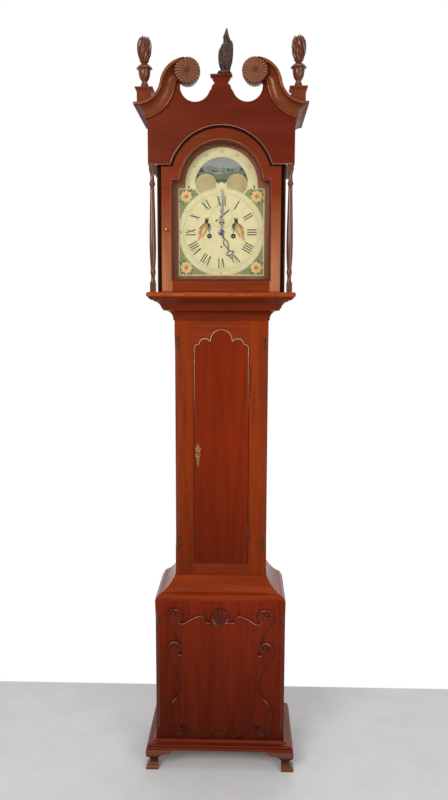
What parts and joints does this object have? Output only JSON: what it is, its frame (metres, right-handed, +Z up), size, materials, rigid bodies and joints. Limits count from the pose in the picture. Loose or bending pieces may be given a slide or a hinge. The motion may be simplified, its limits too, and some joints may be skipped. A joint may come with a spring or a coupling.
{
  "type": "tall case clock",
  "caption": "Tall mahogany case clock with a scrolled hood, glazed hood door, lipped trunk door, painted moon dial, seconds pendulum and weights on lines.",
  "frame": {"origin": "on the floor, under the middle of the clock's bounding box", "axes": "+Z up, +X to the right of a viewer facing the dial, -Y towards that viewer"},
  "size_m": [0.584, 0.327, 2.6443],
  "materials": {
    "mahogany": "polished",
    "secondary_wood": "satin",
    "dark_wood": "polished",
    "brass": "polished",
    "steel": "brushed",
    "blued_steel": "polished",
    "painted_dial": "gloss",
    "painted_sky": "gloss",
    "glass": "gloss",
    "gut": "satin"
  },
  "bodies": {
    "case": {"backboard": "secondary_wood", "base_front_panel": "mahogany", "base_side_boards": "mahogany", "base_bottom_board": "secondary_wood", "base_moulding": "mahogany", "bracket_feet": "mahogany", "base_applied_panel": "mahogany", "base_scroll_carving": "mahogany", "waist_moulding": "mahogany", "trunk_side_boards": "mahogany", "trunk_front_frame": "mahogany", "throat_moulding": "mahogany", "seatboard": "secondary_wood", "trunk_hinge_frame_leaves": "brass", "dial_plate": "painted_dial", "movement_frame": "brass", "back_cock": "brass", "bell": "brass", "going_line": "gut", "strike_line": "gut"},
    "trunk_door": {"trunk_door": "mahogany", "trunk_hinge_door_leaves": "brass", "keyhole_escutcheon": "brass", "lock_case": "steel"},
    "lock_bolt": {"lock_bolt": "steel"},
    "hood": {"hood_base_frame": "mahogany", "hood_side_panels": "mahogany", "hood_carcase": "secondary_wood", "hood_scroll_board": "mahogany", "swan_necks": "mahogany", "hood_side_cornices": "mahogany", "rosettes": "mahogany", "hood_columns": "mahogany", "finial_plinths": "mahogany", "flame_finials": "mahogany", "bird_finial": "dark_wood", "dial_mask": "secondary_wood"},
    "hood_door": {"hood_door_frame": "mahogany", "hood_door_glass": "glass", "hood_door_knob": "brass", "hood_door_pins": "brass"},
    "minute": {"centre_wheel": "brass", "minute_hand": "blued_steel"},
    "minute_wheel": {"minute_wheel": "brass"},
    "hour": {"hour_wheel": "brass", "hour_hand": "blued_steel"},
    "third": {"third_wheel": "brass"},
    "escape": {"escape_wheel": "brass", "seconds_hand": "blued_steel"},
    "going_barrel": {"going_barrel": "brass"},
    "strike_barrel": {"strike_barrel": "brass"},
    "pallets": {"pallets_and_crutch": "steel"},
    "pendulum": {"pendulum_rod": "steel", "pendulum_bob": "brass"},
    "moon": {"moon_disc": "painted_sky"},
    "going_weight": {"going_weight": "brass"},
    "going_pulley": {"going_pulley": "brass"},
    "strike_weight": {"strike_weight": "brass"},
    "strike_pulley": {"strike_pulley": "brass"},
    "bell_hammer": {"bell_hammer": "steel"}
  },
  "joints": [
    {"name": "trunk_door_swing", "type": "hinge", "parent": "case", "child": "trunk_door", "pos_m": [0.1016, -0.0453, 1.2], "axis": [0, 0, 1], "range_deg": [0, 110]},
    {"name": "lock_bolt_slide", "type": "slide", "parent": "trunk_door", "child": "lock_bolt", "axis": [-1, 0, 0], "range_m": [0, 0.008]},
    {"name": "hood_slide", "type": "slide", "parent": "case", "child": "hood", "axis": [0, -1, 0], "range_m": [0, 0.32]},
    {"name": "hood_door_swing", "type": "hinge", "parent": "hood", "child": "hood_door", "pos_m": [0.202, -0.1165, 1.99], "axis": [0, 0, 1], "range_deg": [0, 110]},
    {"name": "minute_turn", "type": "hinge", "parent": "case", "child": "minute", "pos_m": [0, 0.0035, 1.9862], "axis": [0, 1, 0], "continuous": true},
    {"name": "minute_wheel_turn", "type": "hinge", "parent": "case", "child": "minute_wheel", "pos_m": [-0.012, -0.0365, 1.96542], "axis": [0, 1, 0], "continuous": true},
    {"name": "hour_turn", "type": "hinge", "parent": "case", "child": "hour", "pos_m": [0, -0.0415, 1.9862], "axis": [0, 1, 0], "continuous": true},
    {"name": "third_turn", "type": "hinge", "parent": "case", "child": "third", "pos_m": [0.01382, 0.0035, 2.01727], "axis": [0, 1, 0], "continuous": true},
    {"name": "escape_turn", "type": "hinge", "parent": "case", "child": "escape", "pos_m": [0, 0.0035, 2.0402], "axis": [0, 1, 0], "continuous": true},
    {"name": "going_barrel_turn", "type": "hinge", "parent": "case", "child": "going_barrel", "pos_m": [-0.042, 0.0035, 1.9732], "axis": [0, 1, 0], "continuous": true},
    {"name": "moon_turn", "type": "hinge", "parent": "case", "child": "moon", "pos_m": [0, -0.0735, 2.1482], "axis": [0, 1, 0], "continuous": true},
    {"name": "pendulum_swing", "type": "hinge", "parent": "case", "child": "pendulum", "pos_m": [0, 0.0655, 2.0692], "axis": [0, 1, 0], "range_deg": [-3, 3]},
    {"name": "pallets_rock", "type": "hinge", "parent": "case", "child": "pallets", "pos_m": [0, 0.0435, 2.0692], "axis": [0, 1, 0], "range_deg": [-3.1, 3.1]},
    {"name": "going_weight_rise", "type": "slide", "parent": "case", "child": "going_weight", "axis": [0, 0, 1], "range_m": [0, 1.18], "deforming": ["going_line"]},
    {"name": "going_pulley_turn", "type": "hinge", "parent": "going_weight", "child": "going_pulley", "pos_m": [-0.045, 0.0185, 0.656], "axis": [0, 1, 0], "range_deg": [0, 3350]},
    {"name": "strike_weight_rise", "type": "slide", "parent": "case", "child": "strike_weight", "axis": [0, 0, 1], "range_m": [0, 1.18], "deforming": ["strike_line"]},
    {"name": "strike_pulley_turn", "type": "hinge", "parent": "strike_weight", "child": "strike_pulley", "pos_m": [0.045, 0.0185, 0.656], "axis": [0, 1, 0], "range_deg": [-3350, 0]},
    {"name": "strike_barrel_turn", "type": "hinge", "parent": "case", "child": "strike_barrel", "pos_m": [0.042, 0.0035, 1.9732], "axis": [0, 1, 0], "range_deg": [-5820, 0]},
    {"name": "bell_hammer_lift", "type": "hinge", "parent": "case", "child": "bell_hammer", "pos_m": [0.052, 0.0035, 2.0862], "axis": [0, 1, 0], "range_deg": [0, 12], "stiffness_Nm_per_rad": 0.6}
  ],
  "couplings": [
    {"joint": "minute_wheel_turn", "follows": "minute_turn", "ratio": -1},
    {"joint": "hour_turn", "follows": "minute_turn", "ratio": 0.083333},
    {"joint": "third_turn", "follows": "minute_turn", "ratio": -7.5},
    {"joint": "escape_turn", "follows": "minute_turn", "ratio": 60},
    {"joint": "going_barrel_turn", "follows": "minute_turn", "ratio": -0.083333},
    {"joint": "moon_turn", "follows": "minute_turn", "ratio": 0.00070621},
    {"joint": "pallets_rock", "follows": "pendulum_swing", "ratio": 1},
    {"joint": "going_pulley_turn", "follows": "going_weight_rise", "rad_per_m": 49.261},
    {"joint": "strike_pulley_turn", "follows": "strike_weight_rise", "rad_per_m": -49.261},
    {"joint": "strike_barrel_turn", "follows": "strike_weight_rise", "rad_per_m": -85.837}
  ]
}
